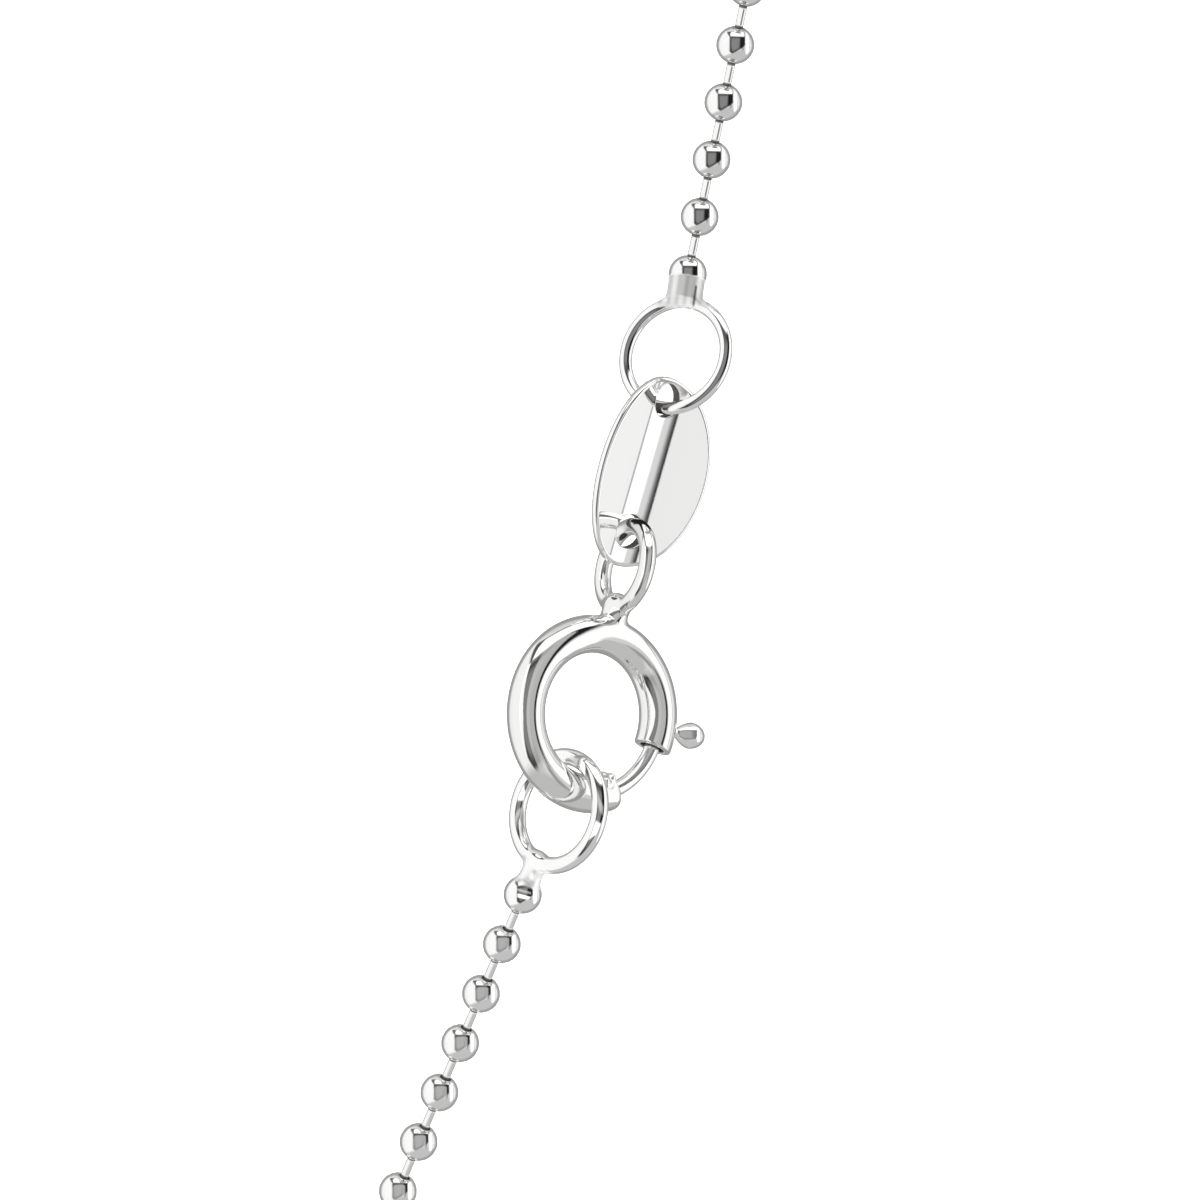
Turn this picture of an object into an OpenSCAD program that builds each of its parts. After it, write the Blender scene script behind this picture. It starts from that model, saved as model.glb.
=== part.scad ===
// Ball chain necklace with an oval link tag and a bolt ring clasp.
// Millimetres, +Z up. The origin is where the top of the loop rests on the
// back of the neck; X runs across the loop and -Y faces the viewer.

/* [Loop] */
// Width of the hanging loop, between bead centres
loop_w = 126; // [110:1:145]
// Height of the hanging loop, between bead centres
loop_h = 160; // [140:1:180]

/* [Bead chain] */
// Outer diameter of a bead
bead_d = 1.2; // [1.15:0.05:1.4]
// Wall of a hollow bead
bead_wall = 0.14; // [0.1:0.01:0.16]
// Distance between the centres of two beads
bead_pitch = 1.84; // [1.75:0.01:2.1]
// Diameter of the pin between two beads
pin_d = 0.27; // [0.22:0.01:0.29]
// Clearance round a pin in the hole of its bead, with room to swing
pin_gap = 0.15; // [0.14:0.01:0.17]
// How far the head of a pin reaches past the edge of its hole
pin_head_lap = 0.035; // [0.02:0.005:0.05]
// Thickness of the head of a pin
pin_head_t = 0.2; // [0.14:0.01:0.24]

/* [Upper end ring] */
// Outer diameter of the ring under the upper end ball
upper_ring_od = 3.85; // [3.6:0.05:4.4]
// Wire diameter of the upper ring
upper_wire_d = 0.41; // [0.34:0.01:0.44]
// Diameter of the collar between the upper ring and its ball
upper_collar_d = 1.08; // [0.8:0.02:1.1]
// Bare gap between the upper ring and its ball
upper_gap = 0.1; // [0.05:0.05:0.6]

/* [Oval tag] */
// Length of the tag
tag_len = 6.1; // [5.6:0.05:7.5]
// Width of the tag
tag_w = 4.16; // [3.8:0.02:5.2]
// Thickness of the tag
tag_t = 0.34; // [0.28:0.01:0.4]
// Width of the bend along the middle of the tag, between its two flat wings
tag_bend_w = 1.24; // [1:0.02:1.8]
// Radius of that bend
tag_bend_r = 2.3; // [1.6:0.05:6]
// Diameter of the two holes in the tag
tag_hole_d = 1.08; // [1:0.01:1.2]
// Metal left between the upper hole and the tag's end
tag_upper_margin = 0.18; // [0.1:0.02:0.6]
// Metal left between the lower hole and the tag's end
tag_lower_margin = 0.6; // [0.2:0.02:0.9]

/* [Clasp] */
// Outer diameter of the clasp's ring
clasp_od = 6.2; // [6:0.1:7.5]
// Outer diameter of the clasp's tube
tube_d = 1.2; // [1.15:0.05:1.3]
// Diameter of the sliding gate wire
gate_d = 0.5; // [0.44:0.02:0.54]
// Clearance round the gate wire in the bore of the tube
gate_gap = 0.13; // [0.11:0.01:0.16]
// Diameter of the trigger's stem
stem_d = 0.32; // [0.26:0.01:0.36]
// Clearance on each side of the stem in the slot of the tube
stem_gap = 0.12; // [0.11:0.01:0.15]
// Diameter of the trigger's knob
knob_d = 0.84; // [0.7:0.02:1]
// Length of the trigger's knob
knob_len = 1.06; // [1.02:0.02:1.4]
// How far the gate slides back, in degrees round the ring
gate_travel = 44; // [34:1:45]
// Outer diameter of the bail loop
bail_od = 3.12; // [3:0.02:3.6]
// Wire diameter of the bail loop
bail_wire_d = 0.54; // [0.46:0.02:0.6]
// Diameter of the neck under the bail loop
bail_neck_d = 0.86; // [0.7:0.02:1]

/* [Lower end ring] */
// Outer diameter of the ring above the lower end ball
lower_ring_od = 3.98; // [3.8:0.02:4.6]
// Wire diameter of the lower ring
lower_wire_d = 0.54; // [0.46:0.02:0.6]
// Diameter of the neck between the lower ring and its ball
lower_neck_d = 0.64; // [0.5:0.02:0.8]
// Bare gap between the lower ring and its ball
lower_gap = 0.28; // [0.1:0.02:0.5]

/* [Hidden] */

// Facets of a full turn
round_fn = 32;
// How far a cut reaches past a face
cut = 0.2;
// How far a swept cut reaches past a face, in degrees round the ring
cut_arc = 1;
// How deep a soldered end reaches into the ball that it carries
weld = 0.08;
// How far the root of a pin stands out inside its own bead
pin_root = 0.06;
// Running clearance between the clasp's tube and the knob that slides over it
knob_gap = 0.11;
// Facets of the tag's bend, from its middle to one side
bend_steps = 6;
// Clearance between two wires that are linked
link_gap = 0.1;
// Bare length of the neck between the clasp's tube and its bail
bail_gap = 0.1;

// Place of the clasp on the loop, as shares of its half width and its height
clasp_side = 0.905;
clasp_drop = 0.7;
// How far the clasp stands out in front of the loop
clasp_front = 2.4;
// How far the clasp's stretch leans back
stretch_lean = 10;

// Turn about its long axis, right side away, and lean to the right, of each piece
clasp_turn = 34.6;
bail_turn = -60;
bail_lean = 15;
tag_turn = 37;
tag_lean = 16;
upper_turn = -29.6;
upper_lean = 33;
lower_turn = -43;
lower_lean = 13.5;
// Lean to the right and towards the viewer of the two straight runs of chain
upper_run_lean = 11.7;
upper_run_tilt = 8;
lower_run_lean = 22.8;
lower_run_tilt = 24;
// Length of a straight run of chain beside the clasp's stretch
run_len = 11;

// Angles round the clasp's ring, from its right side towards its top
bail_at = 74.6;
mouth_at = -25;
socket_at = -72;
trigger_at = -10.4;
lower_ring_at = -116;
gate_tail = 8;
// Arc of the bore behind the mouth, with room for the gate and the spring behind it
channel_arc = 82;
// Arc that the gate's tip reaches into its socket, and the arc of the socket itself
gate_seat = 4;
socket_depth = 8;
// How far each wire sits off the middle of its hole in the tag, along the tag
upper_wire_off = -0.25;
bail_wire_off = 0.08;
// Angles round the other rings, from each one's right side towards its top
bail_link_at = 114;
upper_link_at = -69.6;
upper_ball_at = 117.7;
lower_link_at = 86;
lower_ball_at = -103.3;

bead_hole_d = pin_d + 2 * pin_gap;
bead_hollow_d = bead_d - 2 * bead_wall;
pin_head_d = bead_hole_d + 2 * pin_head_lap;
tube_bore = gate_d + 2 * gate_gap;
slot_w = stem_d + 2 * stem_gap;
clasp_r = (clasp_od - tube_d) / 2;
bail_r = (bail_od - bail_wire_d) / 2;
upper_r = (upper_ring_od - upper_wire_d) / 2;
lower_r = (lower_ring_od - lower_wire_d) / 2;

function turned(v, turn) = [v.x * cos(turn) - v.y * sin(turn), v.x * sin(turn) + v.y * cos(turn), v.z];
function leaned(v, lean) = [v.x * cos(lean) + v.z * sin(lean), v.y, v.z * cos(lean) - v.x * sin(lean)];
function posed(v, turn, lean) = leaned(turned(v, turn), lean);
function round_ring(a) = [cos(a), 0, sin(a)];

// Places in the stretch's own frame, whose origin is the middle of the clasp's ring
clasp_out = turned(round_ring(bail_at), clasp_turn);
bail_pos = clasp_out * (clasp_r + tube_d / 2 + bail_gap + bail_od / 2);
bail_link_pos = bail_pos + posed(round_ring(bail_link_at) * bail_r, bail_turn, bail_lean);
tag_up = leaned([0, 0, 1], tag_lean);
lower_hole_pos = bail_link_pos - tag_up * bail_wire_off;
tag_pos = lower_hole_pos + tag_up * (tag_len / 2 - tag_lower_margin - tag_hole_d / 2);
upper_hole_pos = tag_pos + tag_up * (tag_len / 2 - tag_upper_margin - tag_hole_d / 2);
upper_link_pos = upper_hole_pos + tag_up * upper_wire_off;
upper_pos = upper_link_pos - posed(round_ring(upper_link_at) * upper_r, upper_turn, upper_lean);
upper_ball_h = upper_ring_od / 2 + upper_gap + bead_d / 2;
upper_ball_pos = upper_pos + posed(round_ring(upper_ball_at) * upper_ball_h, upper_turn, upper_lean);
lower_link_r = clasp_r - tube_d / 2 - lower_wire_d / 2 - link_gap;
lower_link_pos = turned(round_ring(lower_ring_at) * lower_link_r, clasp_turn);
lower_pos = lower_link_pos - posed(round_ring(lower_link_at) * lower_r, lower_turn, lower_lean);
lower_ball_h = lower_ring_od / 2 + lower_gap + bead_d / 2;
lower_ball_pos = lower_pos + posed(round_ring(lower_ball_at) * lower_ball_h, lower_turn, lower_lean);

// From the stretch's frame to the model's
clasp_pos = [loop_w / 2 * clasp_side, -clasp_front, -loop_h * clasp_drop];
function leaned_back(v) = [
    v.x,
    v.y * cos(stretch_lean) + v.z * sin(stretch_lean),
    v.z * cos(stretch_lean) - v.y * sin(stretch_lean)
];
function in_model(v) = clasp_pos + leaned_back(v);

// Directions of the two straight runs, both pointing up
function run_dir(lean, tilt) = [sin(lean) * cos(tilt), -sin(tilt), cos(lean) * cos(tilt)];
upper_run = leaned_back(run_dir(upper_run_lean, upper_run_tilt));
lower_run = leaned_back(run_dir(lower_run_lean, lower_run_tilt));
lower_end = in_model(lower_ball_pos);
upper_end = in_model(upper_ball_pos);

// The rest of the route: shares of the half width and of the height, and the depth
loop_route = [
    [0.62, 0.9, 2],
    [0.33, 0.978, 1.2],
    [0, 1, 0],
    [-0.33, 0.972, 0],
    [-0.6, 0.9, 0],
    [-0.82, 0.785, 0],
    [-0.96, 0.64, 0],
    [-1, 0.48, 0],
    [-0.94, 0.33, 0],
    [-0.78, 0.19, 0],
    [-0.55, 0.085, 0],
    [-0.28, 0.022, 0],
    [0, 0, 0],
    [0.28, 0.022, 0],
    [0.55, 0.085, 0],
    [0.78, 0.19, 0],
    [0.94, 0.33, 0.3],
    [1.01, 0.455, 0.9]
];
route = concat(
    [lower_end, lower_end - lower_run * run_len],
    [for (p = loop_route) [p[0] * loop_w / 2, p[2], bead_d / 2 - p[1] * loop_h]],
    [upper_end + upper_run * run_len, upper_end]
);

// A smooth curve through the route's points
curve_steps = 16;
function heading(i) =
    i <= 1 ? -lower_run :
    i >= len(route) - 2 ? -upper_run :
    (route[i + 1] - route[i - 1]) / (norm(route[i + 1] - route[i]) + norm(route[i] - route[i - 1]));
function curve_at(i, t) =
    let (
        span = norm(route[i + 1] - route[i]),
        t2 = t * t,
        t3 = t2 * t
    )
    route[i] * (2 * t3 - 3 * t2 + 1)
    + heading(i) * span * (t3 - 2 * t2 + t)
    + route[i + 1] * (3 * t2 - 2 * t3)
    + heading(i + 1) * span * (t3 - t2);
curve = concat(
    [for (i = [0 : len(route) - 2]) for (k = [0 : curve_steps - 1]) curve_at(i, k / curve_steps)],
    [upper_end]
);
chords = [for (i = [1 : len(curve) - 1]) norm(curve[i] - curve[i - 1])];
curve_s = [for (i = 0, s = 0; i < len(curve); s = i < len(chords) ? s + chords[i] : s, i = i + 1) s];
curve_len = curve_s[len(curve_s) - 1];

// Bead centres, evenly spaced from the lower end ball to the upper one
pitches = round(curve_len / bead_pitch);
curve_tables = [for (axis = [0 : 2]) [for (i = [0 : len(curve) - 1]) [curve_s[i], curve[i][axis]]]];
function bead_pos(k) =
    let (s = curve_len * k / pitches)
    [for (table = curve_tables) lookup(s, table)];

module along(from, to) {
    d = to - from;
    translate(from)
        rotate([0, acos(d.z / norm(d)), atan2(d.y, d.x)])
            children();
}

// Half the section of a hollow bead, whose hole faces down
module bead_section() {
    difference() {
        circle(d = bead_d, $fn = round_fn);
        circle(d = bead_hollow_d, $fn = round_fn);
        translate([-bead_d, -bead_d]) square([bead_d, 2 * bead_d]);
        translate([0, -bead_d]) square([bead_hole_d / 2, bead_d]);
    }
}

// Half the section of the pin that a bead sends into the next one, with its captive head
module pin_section(span) {
    root = bead_hollow_d / 2 - pin_root;
    translate([0, root]) square([pin_d / 2, span - root]);
    translate([0, span - pin_head_t / 2]) square([pin_head_d / 2, pin_head_t]);
}

module chain_link(here, after) {
    along(here, after) rotate_extrude($fn = round_fn) {
        bead_section();
        pin_section(norm(after - here));
    }
}

module neck_chain() {
    color("silver")
        for (k = [1 : pitches - 1])
            chain_link(bead_pos(k), bead_pos(k + 1));
}

// Stands what is drawn in the stretch's frame at its place in the model
module in_stretch() {
    translate(clasp_pos) rotate([-stretch_lean, 0, 0]) children();
}

// Turns and leans one piece of the stretch, then sets it in place
module place_piece(pos, turn, lean) {
    in_stretch() translate(pos) rotate([0, lean, 0]) rotate([0, 0, turn]) children();
}

// A round wire ring that stands upright in the XZ plane
module wire_ring(r, wire_d) {
    rotate([90, 0, 0]) rotate_extrude($fn = round_fn) translate([r, 0]) circle(d = wire_d, $fn = round_fn);
}

// Lays +Z along the radius at an angle round an upright ring
module outwards(at) {
    rotate([0, 90 - at, 0]) children();
}

module upper_end_ring() {
    color("silver") {
        place_piece(upper_pos, upper_turn, upper_lean) {
            wire_ring(upper_r, upper_wire_d);
            outwards(upper_ball_at) difference() {
                translate([0, 0, upper_r])
                    cylinder(d = upper_collar_d, h = upper_ball_h - upper_r, $fn = round_fn);
                translate([0, 0, upper_ball_h]) sphere(d = bead_d - 2 * weld, $fn = round_fn);
            }
        }
        along(upper_end, bead_pos(pitches - 1))
            rotate_extrude($fn = round_fn) mirror([0, 1]) bead_section();
    }
}

// Slope of the tag's middle surface across its width, and its fall towards the viewer
function tag_slope(x) = sign(x) * min(abs(x), tag_bend_w / 2) / tag_bend_r;
function tag_fall(x) = abs(tag_slope(x)) * (max(abs(x), tag_bend_w / 2) - tag_bend_w / 2)
    + tag_slope(x) * tag_slope(x) * tag_bend_r / 2;
function tag_skin(x, off) = [x, -tag_fall(x)] + off * [tag_slope(x), 1] / norm([tag_slope(x), 1]);

// Section of the tag's plate across its width, wider than the tag
module tag_section() {
    reach = tag_w / 2 + tag_t;
    stops = concat([-reach], [for (k = [-bend_steps : bend_steps]) tag_bend_w / 2 * k / bend_steps], [reach]);
    polygon(concat(
        [for (x = stops) tag_skin(x, tag_t / 2)],
        [for (k = [len(stops) - 1 : -1 : 0]) tag_skin(stops[k], -tag_t / 2)]
    ));
}

module oval_tag() {
    color("gainsboro") place_piece(tag_pos, tag_turn, tag_lean) {
        difference() {
            intersection() {
                rotate([90, 0, 0]) linear_extrude(tag_w, center = true)
                    scale([tag_w / tag_len, 1]) circle(d = tag_len, $fn = 2 * round_fn);
                linear_extrude(tag_len + cut, center = true) tag_section();
            }
            for (z = [
                tag_len / 2 - tag_upper_margin - tag_hole_d / 2,
                -tag_len / 2 + tag_lower_margin + tag_hole_d / 2
            ])
                translate([0, 0, z]) rotate([90, 0, 0])
                    cylinder(d = tag_hole_d, h = tag_w, center = true, $fn = round_fn);
        }
    }
}

// A stretch of the clasp's ring, from one angle to another, swept from a flat section
module clasp_sweep(from, to) {
    rotate([90, 0, 0]) rotate([0, 0, from]) rotate_extrude(angle = to - from, $fn = round_fn) children();
}

module clasp_ring() {
    stem_arc = asin(slot_w / 2 / clasp_r);
    color("gainsboro") {
        place_piece([0, 0, 0], clasp_turn, 0) difference() {
            clasp_sweep(mouth_at, 360 + socket_at) translate([clasp_r, 0]) circle(d = tube_d, $fn = round_fn);
            clasp_sweep(mouth_at - cut_arc, mouth_at + channel_arc)
                translate([clasp_r, 0]) circle(d = tube_bore, $fn = round_fn);
            clasp_sweep(socket_at - socket_depth, socket_at + cut_arc)
                translate([clasp_r, 0]) circle(d = tube_bore, $fn = round_fn);
            clasp_sweep(trigger_at - stem_arc, trigger_at + gate_travel + stem_arc)
                translate([clasp_r, -slot_w / 2]) square([tube_d, slot_w]);
        }
        place_piece(bail_pos, bail_turn, bail_lean) wire_ring(bail_r, bail_wire_d);
        in_stretch() along(clasp_out * (clasp_r + tube_d / 4), clasp_out * (norm(bail_pos) - bail_r))
            cylinder(d = bail_neck_d, h = norm(bail_pos) - bail_r - clasp_r - tube_d / 4, $fn = round_fn);
    }
}

module clasp_bolt() {
    knob_low = clasp_od / 2 + knob_gap + knob_d / 2;
    color("gainsboro") place_piece([0, 0, 0], clasp_turn, 0) {
        clasp_sweep(socket_at - gate_seat, gate_tail)
            translate([clasp_r, 0]) circle(d = gate_d, $fn = round_fn);
        outwards(trigger_at) {
            translate([0, 0, clasp_r]) cylinder(d = stem_d, h = knob_low - clasp_r, $fn = round_fn);
            translate([0, 0, knob_low]) sphere(d = knob_d, $fn = round_fn);
            translate([0, 0, knob_low]) cylinder(d = knob_d, h = knob_len - knob_d, $fn = round_fn);
            translate([0, 0, knob_low + knob_len - knob_d]) sphere(d = knob_d, $fn = round_fn);
        }
    }
}

module lower_end_ring() {
    color("silver") {
        place_piece(lower_pos, lower_turn, lower_lean) {
            wire_ring(lower_r, lower_wire_d);
            outwards(lower_ball_at) {
                translate([0, 0, lower_r])
                    cylinder(d = lower_neck_d, h = lower_ball_h - lower_r, $fn = round_fn);
                translate([0, 0, lower_ball_h]) sphere(d = bead_d, $fn = round_fn);
            }
        }
        along(lower_end, bead_pos(1))
            rotate_extrude($fn = round_fn) pin_section(norm(bead_pos(1) - lower_end));
    }
}

neck_chain();
upper_end_ring();
oval_tag();
clasp_ring();
clasp_bolt();
lower_end_ring();
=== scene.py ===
# %% [markdown]
# # A ball chain necklace in polished silver
#
# The necklace hangs from the nape as a closed loop. Its clasp side is what the
# picture shows: two runs of beads, an oval tag between two wire loops, and a bolt
# ring. The solid model gives every place and size, and this lesson dresses it.
#
# All the shapes here are round wire, turned balls and one bent plate, so each is
# made from its own rule in mesh code, in millimetres, and only turned into metres
# when it becomes a Blender mesh.

# %% Load the frame
import math

import bpy
import numpy as np
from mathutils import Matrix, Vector


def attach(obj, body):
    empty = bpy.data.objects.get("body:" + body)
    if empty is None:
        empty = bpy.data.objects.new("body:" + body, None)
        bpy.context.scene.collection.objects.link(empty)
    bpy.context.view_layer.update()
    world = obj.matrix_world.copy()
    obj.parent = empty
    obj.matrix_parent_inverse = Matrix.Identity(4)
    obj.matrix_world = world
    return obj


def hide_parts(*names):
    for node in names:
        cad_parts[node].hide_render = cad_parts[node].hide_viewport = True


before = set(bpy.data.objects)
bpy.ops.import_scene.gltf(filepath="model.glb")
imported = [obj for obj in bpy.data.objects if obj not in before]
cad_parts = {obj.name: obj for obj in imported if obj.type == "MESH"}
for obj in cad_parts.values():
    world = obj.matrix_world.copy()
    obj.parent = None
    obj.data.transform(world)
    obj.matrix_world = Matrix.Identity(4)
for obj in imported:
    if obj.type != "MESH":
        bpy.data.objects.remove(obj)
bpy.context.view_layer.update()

MM = 0.001

# %% [markdown]
# ## Where the pieces hang
#
# Every piece of the clasp's stretch is a ring or a plate that was turned about its
# own upright line and then leaned sideways. The chain of places runs from the middle
# of the bolt ring to its bail, the tag, the upper ring and its ball, and from the
# bolt ring down to the lower ring and its ball. The same few sizes as in the solid
# model are repeated here, so every piece lands where its solid is.

# %% Sizes in millimetres and places in degrees
BEAD_D = 1.2
BEAD_WALL = 0.14
BEAD_PITCH = 1.84
PIN_D = 0.27
LOOP_W, LOOP_H = 126, 160
CLASP_OD, TUBE_D, TUBE_BORE, GATE_D = 6.2, 1.2, 0.76, 0.5
STEM_D, SLOT_W = 0.32, 0.56
KNOB_D, KNOB_LEN, KNOB_GAP = 0.84, 1.06, 0.11
BAIL_OD, BAIL_WIRE, BAIL_GAP = 3.12, 0.54, 0.1
TAG_LEN, TAG_W, TAG_T = 6.1, 4.16, 0.34
TAG_HOLE_D, TAG_UPPER_MARGIN, TAG_LOWER_MARGIN = 1.08, 0.18, 0.6
TAG_BEND_W, TAG_BEND_R = 1.24, 2.3
UPPER_OD, UPPER_WIRE, UPPER_COLLAR_D, UPPER_GAP = 3.85, 0.41, 1.08, 0.1
LOWER_OD, LOWER_WIRE, LOWER_NECK_D, LOWER_GAP = 3.98, 0.54, 0.64, 0.28
LINK_GAP = 0.1

CLASP_TURN, BAIL_TURN, TAG_TURN, UPPER_TURN, LOWER_TURN = 34.6, -60, 37, -29.6, -43
BAIL_LEAN, TAG_LEAN, UPPER_LEAN, LOWER_LEAN, STRETCH_LEAN = 15, 16, 33, 13.5, 10
BAIL_AT, MOUTH_AT, SOCKET_AT, TRIGGER_AT, LOWER_RING_AT = 74.6, -25, -72, -10.4, -116
BAIL_LINK_AT, UPPER_LINK_AT, UPPER_BALL_AT = 114, -69.6, 117.7
LOWER_LINK_AT, LOWER_BALL_AT = 86, -103.3
UPPER_WIRE_OFF, BAIL_WIRE_OFF = -0.25, 0.08
CHANNEL_ARC, GATE_TAIL, GATE_SEAT, GATE_TRAVEL = 82, 8, 4, 44
CLASP_AT = np.array([LOOP_W / 2 * 0.905, -2.4, -LOOP_H * 0.7])

CLASP_R = (CLASP_OD - TUBE_D) / 2
BAIL_R = (BAIL_OD - BAIL_WIRE) / 2
UPPER_R = (UPPER_OD - UPPER_WIRE) / 2
LOWER_R = (LOWER_OD - LOWER_WIRE) / 2


def turned(v, turn):
    """Turns points about the upright line, right side away from the viewer."""
    a = math.radians(turn)
    v = np.asarray(v, float)
    x, y, z = v[..., 0], v[..., 1], v[..., 2]
    return np.stack([x * math.cos(a) - y * math.sin(a), x * math.sin(a) + y * math.cos(a), z], -1)


def leaned(v, lean):
    """Leans points to the right."""
    a = math.radians(lean)
    v = np.asarray(v, float)
    x, y, z = v[..., 0], v[..., 1], v[..., 2]
    return np.stack([x * math.cos(a) + z * math.sin(a), y, z * math.cos(a) - x * math.sin(a)], -1)


def posed(v, turn, lean):
    """Turns points and then leans them, as each ring and the tag hang."""
    return leaned(turned(v, turn), lean)


def on_ring(at):
    """A unit step from the middle of an upright ring, at an angle from its right side."""
    a = math.radians(at)
    return np.array([math.cos(a), 0, math.sin(a)])


def in_model(v):
    """From the stretch's own frame, which leans back, to the model's."""
    a = math.radians(STRETCH_LEAN)
    v = np.asarray(v, float)
    x, y, z = v[..., 0], v[..., 1], v[..., 2]
    y, z = y * math.cos(a) + z * math.sin(a), z * math.cos(a) - y * math.sin(a)
    return CLASP_AT + np.stack([x, y, z], -1)


clasp_out = turned(on_ring(BAIL_AT), CLASP_TURN)
bail_at = clasp_out * (CLASP_R + TUBE_D / 2 + BAIL_GAP + BAIL_OD / 2)
bail_link = bail_at + posed(on_ring(BAIL_LINK_AT) * BAIL_R, BAIL_TURN, BAIL_LEAN)
tag_up = leaned([0, 0, 1], TAG_LEAN)
tag_at = bail_link - tag_up * BAIL_WIRE_OFF + tag_up * (TAG_LEN / 2 - TAG_LOWER_MARGIN - TAG_HOLE_D / 2)
upper_hole = tag_at + tag_up * (TAG_LEN / 2 - TAG_UPPER_MARGIN - TAG_HOLE_D / 2)
upper_link = posed(on_ring(UPPER_LINK_AT) * UPPER_R, UPPER_TURN, UPPER_LEAN)
upper_at = upper_hole + tag_up * UPPER_WIRE_OFF - upper_link
UPPER_BALL_H = UPPER_OD / 2 + UPPER_GAP + BEAD_D / 2
upper_ball = upper_at + posed(on_ring(UPPER_BALL_AT) * UPPER_BALL_H, UPPER_TURN, UPPER_LEAN)
lower_link = turned(on_ring(LOWER_RING_AT) * (CLASP_R - TUBE_D / 2 - LOWER_WIRE / 2 - LINK_GAP), CLASP_TURN)
lower_at = lower_link - posed(on_ring(LOWER_LINK_AT) * LOWER_R, LOWER_TURN, LOWER_LEAN)
LOWER_BALL_H = LOWER_OD / 2 + LOWER_GAP + BEAD_D / 2
lower_ball = lower_at + posed(on_ring(LOWER_BALL_AT) * LOWER_BALL_H, LOWER_TURN, LOWER_LEAN)
print("clasp at", CLASP_AT.round(2), "upper ball", in_model(upper_ball).round(2))

# %% [markdown]
# ## The chain's route
#
# A real chain takes the line that gravity and the neck give it. Here a few given points
# carry a smooth curve, with a straight run at each end of the clasp's
# stretch. Bead centres are then spaced evenly along it, as a bead chain can't stretch.

# %% Bead centres along the loop
RUN_LEN = 11
UPPER_RUN, LOWER_RUN = (11.7, 8), (22.8, 24)
# across as a share of half the width, down as a share of the height, and through in millimetres
LOOP_ROUTE = [
    [0.62, 0.9, 2], [0.33, 0.978, 1.2], [0, 1, 0], [-0.33, 0.972, 0], [-0.6, 0.9, 0],
    [-0.82, 0.785, 0], [-0.96, 0.64, 0], [-1, 0.48, 0], [-0.94, 0.33, 0], [-0.78, 0.19, 0],
    [-0.55, 0.085, 0], [-0.28, 0.022, 0], [0, 0, 0], [0.28, 0.022, 0], [0.55, 0.085, 0],
    [0.78, 0.19, 0], [0.94, 0.33, 0.3], [1.01, 0.455, 0.9],
]
CURVE_STEPS = 16


def run_heading(lean, tilt):
    """Direction of a straight run of chain, pointing up, in the model."""
    a, b = math.radians(lean), math.radians(tilt)
    way = [math.sin(a) * math.cos(b), -math.sin(b), math.cos(a) * math.cos(b)]
    return in_model(way) - in_model([0, 0, 0])


def bead_centres():
    """Ball centres from the lower end ring round the loop to the upper one."""
    upper_run, lower_run = run_heading(*UPPER_RUN), run_heading(*LOWER_RUN)
    lower_end, upper_end = in_model(lower_ball), in_model(upper_ball)
    route = [lower_end, lower_end - lower_run * RUN_LEN]
    route += [[x * LOOP_W / 2, y, BEAD_D / 2 - z * LOOP_H] for x, z, y in LOOP_ROUTE]
    route = np.array(route + [upper_end + upper_run * RUN_LEN, upper_end])
    span = np.linalg.norm(np.diff(route, axis=0), axis=1)
    heading = np.empty_like(route)
    heading[1:-1] = (route[2:] - route[:-2]) / (span[1:] + span[:-1])[:, None]
    heading[:2] = -lower_run
    heading[-2:] = -upper_run
    curve = []
    for i, length in enumerate(span):
        for k in range(CURVE_STEPS):
            t = k / CURVE_STEPS
            curve.append(
                route[i] * (2 * t**3 - 3 * t**2 + 1)
                + heading[i] * length * (t**3 - 2 * t**2 + t)
                + route[i + 1] * (3 * t**2 - 2 * t**3)
                + heading[i + 1] * length * (t**3 - t**2)
            )
    curve = np.array(curve + [upper_end])
    along = np.r_[0, np.cumsum(np.linalg.norm(np.diff(curve, axis=0), axis=1))]
    pitches = round(along[-1] / BEAD_PITCH)
    stops = np.linspace(0, along[-1], pitches + 1)
    return np.stack([np.interp(stops, along, curve[:, k]) for k in range(3)], -1)


beads = bead_centres()
print(len(beads), "balls, the two soldered end balls among them")

# %% [markdown]
# ## Mesh helpers
#
# Silver this bright shows every flat facet, so each surface is a fine grid of quads
# that follows a rule, shaded smooth. A grid is a table of points: rows along the
# piece and columns round it.

# %% Grids, sweeps and turned shapes
def grid_faces(rows, columns, first):
    """Quads over a table of points that is closed round its columns."""
    faces = []
    for i in range(rows - 1):
        a, b = first + i * columns, first + (i + 1) * columns
        for k in range(columns):
            n = (k + 1) % columns
            faces.append((a + k, a + n, b + n, b + k))
    return faces


def basis_along(direction):
    """Two unit vectors square to a direction."""
    d = direction / np.linalg.norm(direction)
    side = np.cross(d, [0, 1, 0])
    side /= np.linalg.norm(side)
    return side, np.cross(d, side), d


def turned_points(profile, columns, centre, direction):
    """Points of a section of (radius, height) pairs turned about a line."""
    side, other, d = basis_along(np.asarray(direction, float))
    angles = np.linspace(0, 2 * math.pi, columns, endpoint=False)
    around = np.cos(angles)[:, None] * side + np.sin(angles)[:, None] * other
    return np.concatenate([centre + r * around + h * d for r, h in profile])


def make_piece(name, points, faces, material):
    """A smooth Blender mesh, in metres, from points in millimetres."""
    mesh = bpy.data.meshes.new(name)
    mesh.from_pydata((np.asarray(points) * MM).tolist(), [], faces)
    mesh.validate()
    mesh.shade_smooth()
    piece = bpy.data.objects.new(name, mesh)
    bpy.context.scene.collection.objects.link(piece)
    mesh.materials.append(material)
    return piece


def painted_shade_and_dullness(piece, amounts):
    """Writes how dull each point is and where shade is painted: to 0.3 rougher and less of a mirror, and to
    1 darker too, which is painted shade in hollows and at pin ends, and the solder's own darker tint.
    """
    piece.data.attributes.new("painted_shade_and_dullness", "FLOAT", "POINT").data.foreach_set("value", amounts)


print("helpers ready")

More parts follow.
